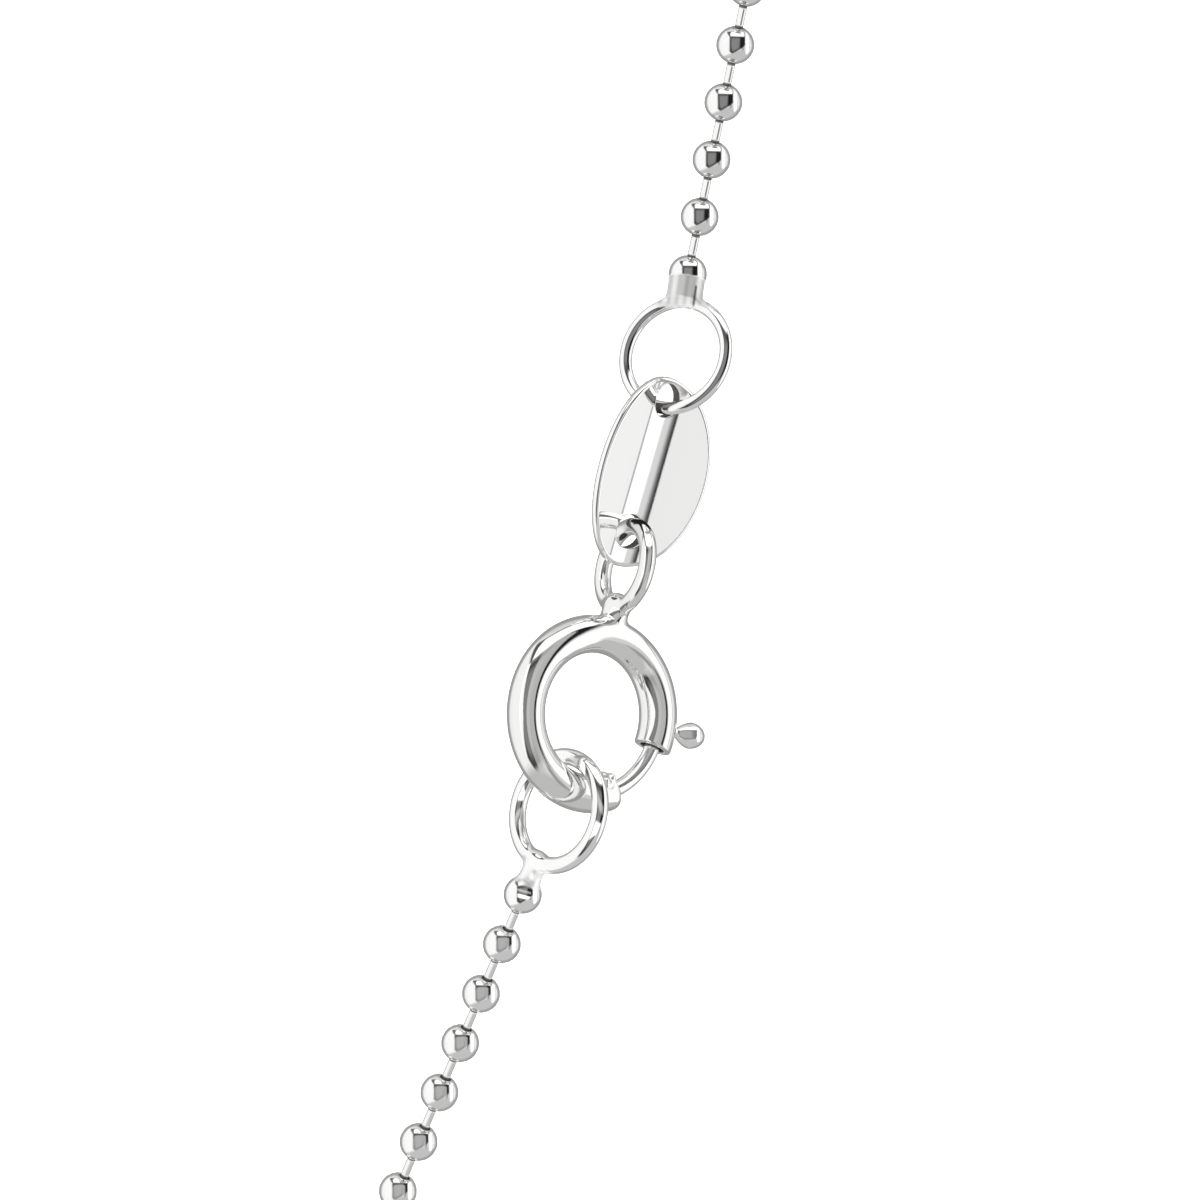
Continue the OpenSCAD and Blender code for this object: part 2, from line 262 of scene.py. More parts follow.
# %% [markdown]
# ## Soldered silver as a distance field
#
# A ring with a ball soldered to it has no sharp join: the solder flows into a small
# hollow curve. Booleans would leave a hard edge, and a sculpted blend would leave
# dents that a mirror finish shows up. So each soldered piece is written as a field
# that says how far any point is from the metal. Smooth unions of such fields give the
# solder's curve.

# %% Fields
def smooth_min(a, b, k):
    """The union of two fields, with a hollow curve of about size k between them."""
    h = np.maximum(k - np.abs(a - b), 0) / k
    return np.minimum(a, b) - h**3 * k / 6


def smooth_max(a, b, k):
    """What two fields share, with an edge that is rounded over about size k."""
    return -smooth_min(-a, -b, k)


def ball_field(p, centre, r):
    """Outside a ball."""
    return np.linalg.norm(p - centre, axis=-1) - r


def rod_field(p, a, b, r):
    """A round rod with ball ends from a to b; r may be a pair for a taper."""
    d = b - a
    t = np.clip(((p - a) @ d) / (d @ d), 0, 1)
    near = a + t[:, None] * d
    r0, r1 = (r, r) if np.isscalar(r) else r
    return np.linalg.norm(p - near, axis=-1) - (r0 + (r1 - r0) * t)


def ring_place(p, centre, turn, lean):
    """Points seen from an upright ring: across, through and up."""
    return turned(leaned(p - centre, -lean), -turn)


def wire_field(q, r, wire_r):
    """A round wire ring, for points seen from it."""
    return np.hypot(np.hypot(q[..., 0], q[..., 2]) - r, q[..., 1]) - wire_r


def past_angle(q, at):
    """How far a point lies past an angle round the ring."""
    a = math.radians(at)
    return q[..., 2] * math.cos(a) - q[..., 0] * math.sin(a)


print("fields ready")

# %% [markdown]
# ## From a field to a mesh
#
# A surface net over a grid turns the field into quads, one point for each grid cell
# that the surface crosses. The points are then evened out and pushed onto the exact
# surface, and the field's slope gives the shading, so that mirrors stay clean. To
# save time the field is reckoned in blocks first, and finely only near the surface.

# %% The net
SLOPE_STEP = 1e-4
STEPS = np.eye(3) * SLOPE_STEP
SLOPE_LEAST, PUSH_MOST = 0.05, 0.05
FIRST_PUSHES, EVEN_ROUNDS, EVEN_SHARE, EVEN_PUSHES = 3, 3, 0.5, 2
BLOCK, BLOCK_REACH = 6, 1.15


def settle(field, p, rounds):
    """Pushes points onto the field's surface."""
    for _ in range(rounds):
        here = field(p)
        slope = np.stack([field(p + d) - here for d in STEPS], -1) / SLOPE_STEP
        size = np.maximum((slope**2).sum(1), SLOPE_LEAST)
        p = p - slope * np.clip(here / size, -PUSH_MOST, PUSH_MOST)[:, None]
    return p


def sampled(field, axes, step):
    """The field on a grid: exact near its surface, and only its sign elsewhere."""
    shape = [len(a) for a in axes]
    middles = [a[::BLOCK] + step * (BLOCK - 1) / 2 for a in axes]
    rough = field(np.stack(np.meshgrid(*middles, indexing="ij"), -1).reshape(-1, 3))
    rough = rough.reshape([len(m) for m in middles])
    for axis in range(3):
        rough = np.repeat(rough, BLOCK, axis=axis)
    value = rough[: shape[0], : shape[1], : shape[2]].copy()
    near = np.nonzero(np.abs(value) < step * BLOCK * BLOCK_REACH)
    value[near] = field(np.stack([a[i] for a, i in zip(axes, near)], -1))
    return value


def net_mesh(field, low, high, step):
    """Points, quads and normals of a field's surface inside a box."""
    axes = [np.arange(a, b + step, step) for a, b in zip(low, high)]
    value = sampled(field, axes, step)
    inside = value < 0
    quads, places = [], []
    for axis in range(3):
        lower = np.moveaxis(inside, axis, 0)
        at = np.argwhere(np.moveaxis(lower[:-1] != lower[1:], 0, axis))
        end = at + np.eye(3, dtype=int)[axis]
        a, b = value[tuple(at.T)], value[tuple(end.T)]
        places.append(low + step * (at + (end - at) * (a / (a - b))[:, None]))
        ring = []
        for turn_b, turn_c in ((-1, -1), (0, -1), (0, 0), (-1, 0)):
            cell = at.copy()
            cell[:, (axis + 1) % 3] += turn_b
            cell[:, (axis + 2) % 3] += turn_c
            ring.append(np.ravel_multi_index(tuple(cell.T), value.shape))
        ring = np.stack(ring, -1)
        ring[a > 0] = ring[a > 0][:, ::-1]
        quads.append(ring)
    quads, places = np.concatenate(quads), np.repeat(np.concatenate(places), 4, axis=0)
    _, quads = np.unique(quads.ravel(), return_inverse=True)
    points = np.stack([np.bincount(quads, places[:, k]) for k in range(3)], -1)
    points = points / np.bincount(quads)[:, None]
    quads = quads.reshape(-1, 4)
    points = relax(field, settle(field, points, FIRST_PUSHES), quads)
    normals = np.stack([field(points + d) - field(points - d) for d in STEPS], -1)
    return points, quads, normals / np.linalg.norm(normals, axis=1)[:, None]


def relax(field, points, quads):
    """Evens out a net's quads, and puts its points back on the surface."""
    a, b = quads.ravel(), np.roll(quads, 1, axis=1).ravel()
    count = np.bincount(a) + np.bincount(b)
    for _ in range(EVEN_ROUNDS):
        total = [np.bincount(a, points[b, k]) + np.bincount(b, points[a, k]) for k in range(3)]
        middle = np.stack(total, -1) / count[:, None]
        points = settle(field, points + EVEN_SHARE * (middle - points), EVEN_PUSHES)
    return points


def field_piece(name, field, low, high, step, material, shading_and_dullness):
    """A piece of the stretch, made from its field and from how dull each place on it is, painted shade
    included.
    """
    points, quads, normals = net_mesh(field, np.array(low, float), np.array(high, float), step)
    piece = make_piece(name, in_model(points), quads.tolist(), material)
    piece.data.normals_split_custom_set_from_vertices((in_model(normals) - CLASP_AT).tolist())
    painted_shade_and_dullness(piece, np.clip(shading_and_dullness(points), 0, 1))
    print(name, len(quads), "quads")
    return piece


def box_over(points, margin):
    """Corners of the box that a piece is looked for in, round some places on it."""
    points = np.array(points)
    return points.min(0) - margin, points.max(0) + margin


print("blocks of", BLOCK, "grid steps")

# %% [markdown]
# ## Reckoning with sockets
#
# Materials, the room and its cards are all sums of a few patterns. Written node by
# node they would be hard to read, so a small wrapper lets a node's output be added
# and multiplied like a number, and each operation adds its own maths node.

# %% A socket wrapper
class Socket:
    """A node's output that can be reckoned with as if it were a number."""

    def __init__(self, tree, output):
        self.tree, self.output = tree, output

    def node(self, kind, settings=None, sockets=None, output=0):
        """Any node in the same tree."""
        return add_node(self.tree, kind, settings, sockets, output)

    def maths(self, operation, *others):
        """A maths node that takes this value first."""
        values = dict(enumerate((self,) + others))
        return self.node("ShaderNodeMath", {"operation": operation}, values)

    def __add__(self, other):
        return self.maths("ADD", other)

    def __sub__(self, other):
        return self.maths("SUBTRACT", other)

    def __rsub__(self, other):
        return self.maths("MULTIPLY_ADD", -1.0, other)

    def __mul__(self, other):
        return self.maths("MULTIPLY", other)

    def __truediv__(self, other):
        return self.maths("DIVIDE", other)

    def __pow__(self, other):
        return self.maths("POWER", other)

    __radd__, __rmul__ = __add__, __mul__

    def step_up(self, start, end):
        """0 below start and 1 above end, with a soft step between."""
        sockets = {"Value": self, "From Min": start, "From Max": end}
        return self.node("ShaderNodeMapRange", {"interpolation_type": "SMOOTHSTEP"}, sockets)


def add_node(tree, kind, settings=None, sockets=None, output=0):
    """Any node, from its type, its settings and its sockets' values or links."""
    node = tree.nodes.new(kind)
    for name, value in (settings or {}).items():
        setattr(node, name, value)
    for name, value in (sockets or {}).items():
        if isinstance(value, Socket):
            tree.links.new(value.output, node.inputs[name])
        else:
            node.inputs[name].default_value = value
    return Socket(tree, node.outputs[output])


print("sockets can be added and multiplied")

# %% [markdown]
# ## Polished silver
#
# Sterling silver comes off the polishing wheel nearly white, with a mirror face that
# has hair lines in it and a faint swell that bends reflections. Solder seams stay
# duller, and the hollows of holes and bores and the pins' ends are given painted
# shade, a darker colour from a mark on each mesh. The material takes the swell, the
# hair lines and a haze from noise in the object's own space: a broad swell and fine
# hair lines go to the bump, and a patchy haze goes to the roughness.

# %% Silver
# Dark colour that the mesh mark mixes in: painted shade in holes, bores and at pin ends, and the darker
# solder on the upper ring.
PAINTED_SHADE_AND_SOLDER_TINT = (0.16, 0.15, 0.135, 1)
HAIR_TURN, HAIR_STRETCH, HAIR_WAVES = (0.4, 0.2, 0.7), (1, 0.06, 0.5), 38
BROAD_CLOUD, FINE_CLOUD = 1.4, 26
DULL_METAL_LOSS, DULL_ROUGHNESS, LEAST_ROUGHNESS = 0.4, 0.4, 0.02
DARKER_FROM, ROUGHEST_AT = 0.3, 0.4


def silver(name, tint, roughness, swell, hair, haze, waves):
    """Polished silver: swell and hair are heights and waves a frequency, in millimetres."""
    material = bpy.data.materials.new(name)
    material.use_nodes = True
    tree = material.node_tree
    shader = tree.nodes["Principled BSDF"]
    place = add_node(tree, "ShaderNodeTexCoord", output="Object")
    # This mark makes the colour darker: painted shade in hollows and at pin ends, and darker solder.
    shade_and_dull_mark = add_node(tree, "ShaderNodeAttribute", {"attribute_name": "painted_shade_and_dullness"}, output="Fac")
    colour = add_node(
        tree, "ShaderNodeMix", {"data_type": "RGBA"},
        {0: shade_and_dull_mark.step_up(DARKER_FROM, 1.0), 6: (*tint, 1), 7: PAINTED_SHADE_AND_SOLDER_TINT}, 2,
    )
    tree.links.new(colour.output, shader.inputs["Base Color"])

    def noise(frequency, detail, where=place):
        return add_node(
            tree, "ShaderNodeTexNoise", None, {"Vector": where, "Scale": frequency / MM, "Detail": detail}
        )

    drawn = add_node(
        tree, "ShaderNodeMapping", None, {"Vector": place, "Rotation": HAIR_TURN, "Scale": HAIR_STRETCH}
    )
    height = (noise(waves, 2.0) - 0.5) * (swell * MM) + (noise(HAIR_WAVES, 3.0, drawn) - 0.5) * (hair * MM)
    bump = add_node(tree, "ShaderNodeBump", None, {"Distance": 1.0, "Strength": 1.0, "Height": height})
    tree.links.new(bump.output, shader.inputs["Normal"])
    cloud = noise(BROAD_CLOUD, 5.0) * 0.6 + noise(FINE_CLOUD, 4.0) * 0.4
    metal = 1 - shade_and_dull_mark.step_up(0.0, DARKER_FROM) * DULL_METAL_LOSS
    tree.links.new(metal.output, shader.inputs["Metallic"])
    rough = (cloud - 0.5) * haze + roughness + shade_and_dull_mark.step_up(0.0, ROUGHEST_AT) * DULL_ROUGHNESS
    rough = rough.maths("MAXIMUM", LEAST_ROUGHNESS)
    tree.links.new(rough.output, shader.inputs["Roughness"])
    return material


BEAD_SILVER = silver(
    "bead silver", (0.95, 0.95, 0.945), roughness=0.12, swell=0.008, hair=0.0004, haze=0.06, waves=1.1)
PIN_SILVER = silver(
    "pin silver", (0.93, 0.93, 0.925), roughness=0.14, swell=0.004, hair=0.0006, haze=0.1, waves=2.0)
RING_SILVER = silver(
    "ring silver", (0.95, 0.95, 0.945), roughness=0.08, swell=0.02, hair=0.0005, haze=0.06, waves=0.6)
TAG_SILVER = silver(
    "tag silver", (0.96, 0.96, 0.955), roughness=0.06, swell=0.002, hair=0.0003, haze=0.03, waves=0.5)
# The clasp's silver is tinted greyer than the other pieces, as painted shade over the whole clasp.
CLASP_SILVER = silver(
    "clasp silver", (0.88, 0.88, 0.87), roughness=0.06, swell=0.01, hair=0.0005, haze=0.06, waves=0.5)
BOLT_SILVER = silver(
    "bolt silver", (0.94, 0.94, 0.935), roughness=0.1, swell=0.006, hair=0.0006, haze=0.08, waves=1.2)
print(len(bpy.data.materials), "materials")

# %% [markdown]
# ## The bead chain
#
# Ball chain is made by a machine that rolls strip into hollow balls round short
# headed pins. Each ball has a hole at both ends, with an edge that the rolling turns
# inwards, and the pins rattle in those holes. Every ball here is one turned section:
# the sphere, the turned-in edge, and a wall that leads into the dark inside. A pin is
# a plain wire with a head that can't leave the ball. The balls next to the lower end
# are a mesh of their own, because a card in the studio shows only in them.

# %% Balls and pins
BALL_COLUMNS, PIN_COLUMNS = 26, 12
BALL_ROWS = 11
HOLE_R = PIN_D / 2 + 0.04
HOLE_EDGE = 0.035
THROAT_SHARE = 0.8
PIN_START, PIN_SHOWS, PIN_FADE, PIN_HIDES = 0.38, 0.62, 0.06, 0.6
PIN_HEAD_R, PIN_HEAD_HALF, HEAD_EDGE = 0.32, 0.09, 0.01
TIP_R = 0.001


def ball_section():
    """Section of a ball from one hole to the other."""
    r, inside = BEAD_D / 2, BEAD_D / 2 - BEAD_WALL
    start = math.asin((HOLE_R + HOLE_EDGE) / r)
    section = [(HOLE_R, -inside * THROAT_SHARE), (HOLE_R, -math.sqrt(r * r - HOLE_R**2) + HOLE_EDGE)]
    for k in range(BALL_ROWS):
        a = start + (math.pi - 2 * start) * k / (BALL_ROWS - 1)
        section.append((r * math.sin(a), -r * math.cos(a)))
    return section + [(HOLE_R, math.sqrt(r * r - HOLE_R**2) - HOLE_EDGE), (HOLE_R, inside * THROAT_SHARE)]


def pin_outline(span):
    """Section of a pin, from inside one ball to its head inside the next."""
    r = PIN_D / 2
    near, far = PIN_SHOWS + PIN_FADE, span - PIN_SHOWS - PIN_FADE
    return [
        (TIP_R, PIN_START), (r, PIN_START), (r, PIN_SHOWS), (r, near), (r, far), (r, span - PIN_HIDES),
        (r, span - PIN_HEAD_HALF - HEAD_EDGE), (PIN_HEAD_R, span - PIN_HEAD_HALF),
        (PIN_HEAD_R, span + PIN_HEAD_HALF), (TIP_R, span + PIN_HEAD_HALF + HEAD_EDGE),
    ]


BALLS_BELOW = 40
# Painted shade: each ball's hole walls and throats, and each pin's ends where it goes into a ball, are
# marked to be painted dark, for the shade in the hollows and where pin meets ball.
PAINTED_SHADE_IN_HOLES = np.array([1, 1] + [0] * BALL_ROWS + [1, 1])
PAINTED_SHADE_AT_PIN_ENDS = np.array([1, 1, 1, 0, 0, 1, 1, 1, 1, 1])


def turned_row(name, sections, columns, shading_and_dullness, material):
    """One mesh of many turned shapes, each from its section, its place and its direction."""
    points = [turned_points(section, columns, place, way) for section, place, way in sections]
    rows = len(shading_and_dullness)
    faces = []
    for k in range(len(points)):
        faces += grid_faces(rows, columns, k * rows * columns)
    piece = make_piece(name, np.concatenate(points), faces, material)
    painted_shade_and_dullness(piece, np.tile(np.repeat(shading_and_dullness, columns), len(points)))
    print(name, len(points), "of", rows * columns, "points")
    return piece


links = list(zip(beads[:-1], beads[1:]))
balls = [(ball_section(), here, after - here) for here, after in links[1:]]
pins = [(pin_outline(np.linalg.norm(after - here)), here, after - here) for here, after in links]
beads_below = turned_row("chain_beads_below", balls[:BALLS_BELOW], BALL_COLUMNS, PAINTED_SHADE_IN_HOLES, BEAD_SILVER)
beads_above = turned_row("chain_beads_above", balls[BALLS_BELOW:], BALL_COLUMNS, PAINTED_SHADE_IN_HOLES, BEAD_SILVER)
chain_pins = turned_row("chain_pins", pins, PIN_COLUMNS, PAINTED_SHADE_AT_PIN_ENDS, PIN_SILVER)

# %% [markdown]
# ## The end rings
#
# The last ball at each end is soldered to a wire ring. The upper one sits on a wide
# low collar, and the lower one on a thin neck; in both the solder has flowed into a
# hollow curve where neck meets wire. The upper ball keeps its hole, since the last
# pin of the chain hangs in it, and the lower ball sends its own pin down.

# %% Upper and lower end rings
BALL_R = BEAD_D / 2
HOLE_START, HOLE_END, HOLE_ROUND = 0.3, 1.2, 0.05
COLLAR_MIDDLE, COLLAR_HALF, COLLAR_THICKER, COLLAR_ROUND = 0.4, 0.36, 0.03, 0.12
UPPER_FILLET, UPPER_BALL_FILLET = 0.3, 0.03
LOWER_FILLET, LOWER_BALL_FILLET = 0.4, 0.16
NECK_THINNER, NECK_WIDENS = 0.02, 0.12
END_NET, END_MARGIN, END_REACH = 0.035, 0.75, 1.75
upper_out = posed(on_ring(UPPER_BALL_AT), UPPER_TURN, UPPER_LEAN)
lower_out = posed(on_ring(LOWER_BALL_AT), LOWER_TURN, LOWER_LEAN)


def in_stretch(p):
    """From the model's frame back to the stretch's own."""
    a = math.radians(STRETCH_LEAN)
    v = np.asarray(p, float) - CLASP_AT
    x, y, z = v[..., 0], v[..., 1], v[..., 2]
    return np.stack([x, y * math.cos(a) - z * math.sin(a), z * math.cos(a) + y * math.sin(a)], -1)


bead_above = in_stretch(beads[-2])
SOLDER_TOP, SOLDER_END, SOLDER_FADE = -0.12, -1.2, 0.2
BAND_LEVEL, BAND_SWING, BAND_WAVES = 0.46, 0.1, 26
FLUX_AT, FLUX_HALF, FLUX_TOP, FLUX_DARKER = 0.31, 0.04, -0.42, 0.6
NECK_LEVEL, NECK_TOP, NECK_EDGE = 0.24, -0.3, 0.1
SOLDER_EDGE = 0.06


def upper_ring_field(p):
    """Wire ring, collar and a hollow ball with the hole that the last pin hangs in."""
    q = ring_place(p, upper_at, UPPER_TURN, UPPER_LEAN)
    wire = wire_field(q, UPPER_R, UPPER_WIRE / 2)
    foot = upper_at + upper_out * UPPER_R
    side = p - foot
    along = side @ upper_out
    across = np.linalg.norm(side - along[:, None] * upper_out, axis=1)
    collar_side = across - UPPER_COLLAR_D / 2 - COLLAR_THICKER
    collar = smooth_max(collar_side, np.abs(along - COLLAR_MIDDLE) - COLLAR_HALF, COLLAR_ROUND)
    metal = smooth_min(wire, collar, UPPER_FILLET)
    hole_way = bead_above - upper_ball
    hole_way /= np.linalg.norm(hole_way)
    ball = ball_field(p, upper_ball, BALL_R)
    hole = rod_field(p, upper_ball + hole_way * HOLE_START, upper_ball + hole_way * HOLE_END, HOLE_R)
    inside = ball_field(p, upper_ball, BALL_R - BEAD_WALL)
    ball = smooth_max(ball, -np.minimum(inside, hole), HOLE_ROUND)
    return smooth_min(metal, ball, UPPER_BALL_FILLET)


def lower_ring_field(p):
    """Wire ring, a neck that widens towards the ball, and the ball."""
    q = ring_place(p, lower_at, LOWER_TURN, LOWER_LEAN)
    wire = wire_field(q, LOWER_R, LOWER_WIRE / 2)
    thickness = (LOWER_NECK_D / 2 - NECK_THINNER, LOWER_NECK_D / 2 + NECK_WIDENS)
    neck = rod_field(p, lower_at + lower_out * LOWER_R, lower_ball, thickness)
    metal = smooth_min(wire, neck, LOWER_FILLET)
    return smooth_min(metal, ball_field(p, lower_ball, BALL_R), LOWER_BALL_FILLET)


def upper_solder(p):
    """Solder on the collar and low on the ball, run down in bands, with one dark streak of flux."""
    height = (p - upper_ball) @ upper_out
    beside = (p - upper_ball) @ np.cross([0, 1, 0], upper_out)
    flux = np.clip(1.2 - np.abs(beside - FLUX_AT) / FLUX_HALF, 0, 1)
    flux = flux * np.clip((FLUX_TOP - height) / SOLDER_EDGE, 0, 1)
    bands = BAND_LEVEL + BAND_SWING * np.sin(beside * BAND_WAVES + 1) + FLUX_DARKER * flux
    bands = bands * np.clip((SOLDER_TOP - height) / SOLDER_EDGE, 0, 1)
    return bands * np.clip((height - SOLDER_END) / SOLDER_FADE, 0, 1)


def lower_solder(p):
    """Solder on the neck and the top of the ball."""
    height = (p - lower_ball) @ lower_out
    level = NECK_LEVEL * np.clip((NECK_TOP - height) / NECK_EDGE, 0, 1)
    return level * np.clip((height - SOLDER_END) / SOLDER_FADE, 0, 1)


def end_box(ring_at, ball_at):
    """The box round an end ring and its ball."""
    return box_over([ring_at - END_REACH, ring_at + END_REACH, ball_at], END_MARGIN)


upper_end = field_piece(
    "upper_end_ring_silver", upper_ring_field, *end_box(upper_at, upper_ball),
    END_NET, RING_SILVER, upper_solder,
)
lower_end = field_piece(
    "lower_end_ring_silver", lower_ring_field, *end_box(lower_at, lower_ball),
    END_NET, RING_SILVER, lower_solder,
)

# %% [markdown]
# ## The oval tag
#
# The tag is stamped from sheet, tumbled so that its rim is round, and bent along its
# middle, so that its two wings mirror different parts of the room. Real wings are
# never quite flat, and these are hollow by a hair. Two holes take the wire of the
# upper ring and of the clasp's bail.

# %% Oval tag
# height up the tag, half width and half length of each hole
TAG_HOLES = (
    (TAG_LEN / 2 - TAG_UPPER_MARGIN - TAG_HOLE_D / 2, 0.42, 0.52),
    (-TAG_LEN / 2 + TAG_LOWER_MARGIN + TAG_HOLE_D / 2, 0.52, 0.52),
)
TAG_RIM, HOLE_RIM = 0.15, 0.08
WING_R = 30
TAG_NET, TAG_REACH = 0.035, 3.15
WALL_EDGE, WALL_MIDDLE = 0.03, 1.5
NEVER_ZERO = 1e-6


def oval_field(x, z, a, b):
    """Outside an oval with the half sizes a and b."""
    share = np.maximum(np.hypot(x / a, z / b), NEVER_ZERO)
    return share * (share - 1) / np.maximum(np.hypot(x / a**2, z / b**2), NEVER_ZERO)


def tag_field(p):
    """A bent sheet inside an oval, rounded at the rim and pierced by two holes."""
    q = ring_place(p, tag_at, TAG_TURN, TAG_LEAN)
    x, y, z = q[..., 0], q[..., 1], q[..., 2]
    bent = np.minimum(np.abs(x), TAG_BEND_W / 2)
    wing = np.abs(x) - bent
    bow = bent**2 / 2 / TAG_BEND_R + wing * bent / TAG_BEND_R + wing**2 / 2 / WING_R
    steep = bent / TAG_BEND_R + wing / WING_R
    sheet = np.abs(y + bow) / np.sqrt(1 + steep**2) - TAG_T / 2
    face, side = sheet + TAG_RIM, oval_field(x, z, TAG_W / 2, TAG_LEN / 2) + TAG_RIM
    outside = np.hypot(np.maximum(face, 0), np.maximum(side, 0))
    tag = outside + np.minimum(np.maximum(face, side), 0) - TAG_RIM
    for height, half_width, half_length in TAG_HOLES:
        tag = smooth_max(tag, -oval_field(x, z - height, half_width, half_length), HOLE_RIM)
    return tag


def tag_hole_shade(p):
    """Painted shade: the punched walls of the holes are painted dark, for the shade inside them."""
    q = ring_place(p, tag_at, TAG_TURN, TAG_LEAN)
    walls = [oval_field(q[:, 0], q[:, 2] - height, a, b) for height, a, b in TAG_HOLES]
    return WALL_MIDDLE - np.min(walls, 0) / WALL_EDGE


tag_box = box_over([tag_at], TAG_REACH)
tag = field_piece("oval_tag_silver", tag_field, *tag_box, TAG_NET, TAG_SILVER, tag_hole_shade)

# %% [markdown]
# ## The bolt ring
#
# A bolt ring is a tube bent round, with a bail loop soldered on top. Its mouth is
# closed by a wire that runs inside the tube, with a spring behind it, and a trigger
# knob on the wire sticks out through a slot. The far end of the tube is closed with
# solder and takes the wire's tip.

# %% Clasp ring and gate
SLOT_ARC = math.degrees(math.asin(SLOT_W / 2 / CLASP_R))
SOCKET_DEPTH = 8
CUT_PAST = 3
NECK_D = 0.86
CLOSED_ROUND, MOUTH_ROUND, CUT_ROUND = 0.4, 0.09, 0.06
LUMP_FILLET, BAIL_FILLET, FOOT_FILLET, KNOB_FILLET = 0.16, 0.3, 0.24, 0.12
KNOB_NARROWS = 0.6
BOLT_DULL = 0.1
CLASP_NET, BOLT_NET, CLASP_MARGIN, BOLT_MARGIN = 0.04, 0.028, 0.7, 0.6
bail_foot = clasp_out * (CLASP_R + TUBE_D / 4)
bail_neck_top = clasp_out * (np.linalg.norm(bail_at) - BAIL_R)


def arc_field(q, start, end):
    """Outside a stretch of less than half a turn round a ring."""
    return np.maximum(-past_angle(q, start), past_angle(q, end))


# angle round the ring, towards the back, away from the middle, and radius
SOLDER_LUMPS = (
    (-80, -0.12, -0.52, 0.16), (-75.5, -0.3, -0.44, 0.15), (-75.5, 0.14, -0.52, 0.13),
    (-84, -0.4, -0.38, 0.17), (-88, 0.12, -0.52, 0.16),
)


def clasp_bore_shade(p):
    """Painted shade: the bore is painted dark, for the shade inside the tube."""
    bore = wire_field(ring_place(p, np.zeros(3), CLASP_TURN, 0), CLASP_R, TUBE_BORE / 2)
    return WALL_MIDDLE - bore / WALL_EDGE


def bolt_dullness(p):
    """The gate wire is a little duller than its knob."""
    return BOLT_DULL * (CLASP_R + TUBE_D / 2 - np.linalg.norm(p, axis=1))


def clasp_field(p):
    """A bent tube with its bore, slot, solder lumps and bail."""
    q = ring_place(p, np.zeros(3), CLASP_TURN, 0)
    tube = wire_field(q, CLASP_R, TUBE_D / 2)
    closed_end = smooth_max(tube, past_angle(q, SOCKET_AT), CLOSED_ROUND)
    open_end = smooth_max(tube, -past_angle(q, MOUTH_AT), MOUTH_ROUND)
    tube = np.minimum(closed_end, open_end)
    for at, off, rise, r in SOLDER_LUMPS:
        lump = np.stack([q[:, 0], q[:, 1] - off, q[:, 2]], -1) - on_ring(at) * (CLASP_R + rise)
        tube = smooth_min(tube, np.linalg.norm(lump, axis=1) - r, LUMP_FILLET)
    bore = wire_field(q, CLASP_R, TUBE_BORE / 2)
    channel = np.maximum(bore, arc_field(q, MOUTH_AT - CUT_PAST, MOUTH_AT + CHANNEL_ARC))
    socket = np.maximum(bore, arc_field(q, SOCKET_AT - SOCKET_DEPTH, SOCKET_AT + CUT_PAST))
    reach = np.hypot(q[..., 0], q[..., 2])
    slot = np.maximum(np.abs(q[..., 1]) - SLOT_W / 2, CLASP_R - reach)
    slot = np.maximum(slot, arc_field(q, TRIGGER_AT - SLOT_ARC, TRIGGER_AT + GATE_TRAVEL + SLOT_ARC))
    tube = smooth_max(tube, -np.minimum(np.minimum(channel, socket), slot), CUT_ROUND)
    b = ring_place(p, bail_at, BAIL_TURN, BAIL_LEAN)
    bail = wire_field(b, BAIL_R, BAIL_WIRE / 2)
    neck = rod_field(p, bail_foot, bail_neck_top, NECK_D / 2)
    return smooth_min(smooth_min(bail, neck, BAIL_FILLET), tube, FOOT_FILLET)


def bolt_field(p):
    """A bent wire, its stem and an egg-shaped knob."""
    q = ring_place(p, np.zeros(3), CLASP_TURN, 0)
    wire = wire_field(q, CLASP_R, GATE_D / 2)
    wire = smooth_max(wire, arc_field(q, SOCKET_AT - GATE_SEAT, GATE_TAIL), CUT_ROUND)
    out = on_ring(TRIGGER_AT)
    low = CLASP_OD / 2 + KNOB_GAP + KNOB_D / 2
    stem = rod_field(q, out * CLASP_R, out * low, STEM_D / 2)
    seen = q - out * (low + (KNOB_LEN - KNOB_D) / 2)
    along = seen @ out
    across = np.linalg.norm(seen - along[:, None] * out, axis=1)
    narrower = 1 + KNOB_NARROWS * np.maximum(-along, 0)
    knob = oval_field(along, across * narrower, KNOB_LEN / 2, KNOB_D / 2)
    return smooth_min(smooth_min(wire, stem, CUT_ROUND), knob, KNOB_FILLET)


def ring_stops(angles):
    """Places on the tube's middle line."""
    return [turned(on_ring(at) * CLASP_R, CLASP_TURN) for at in angles]


KNOB_REACH = 4.0
knob_tip = turned(on_ring(TRIGGER_AT), CLASP_TURN) * KNOB_REACH
clasp_box = box_over(ring_stops((0, 90, 180, 270)) + [bail_at + 1], CLASP_MARGIN)
bolt_box = box_over(ring_stops((-78, -72, -40, 0, 10)) + [knob_tip], BOLT_MARGIN)
clasp = field_piece(
    "clasp_ring_silver", clasp_field, *clasp_box, CLASP_NET, CLASP_SILVER, clasp_bore_shade
)
bolt = field_piece("clasp_bolt_silver", bolt_field, *bolt_box, BOLT_NET, BOLT_SILVER, bolt_dullness)

# %% [markdown]
# ## Bodies
#
# The chain, rings, tag and clasp are one body, and the gate slides in it. Each piece
# here takes the place of a solid and rides on its body.

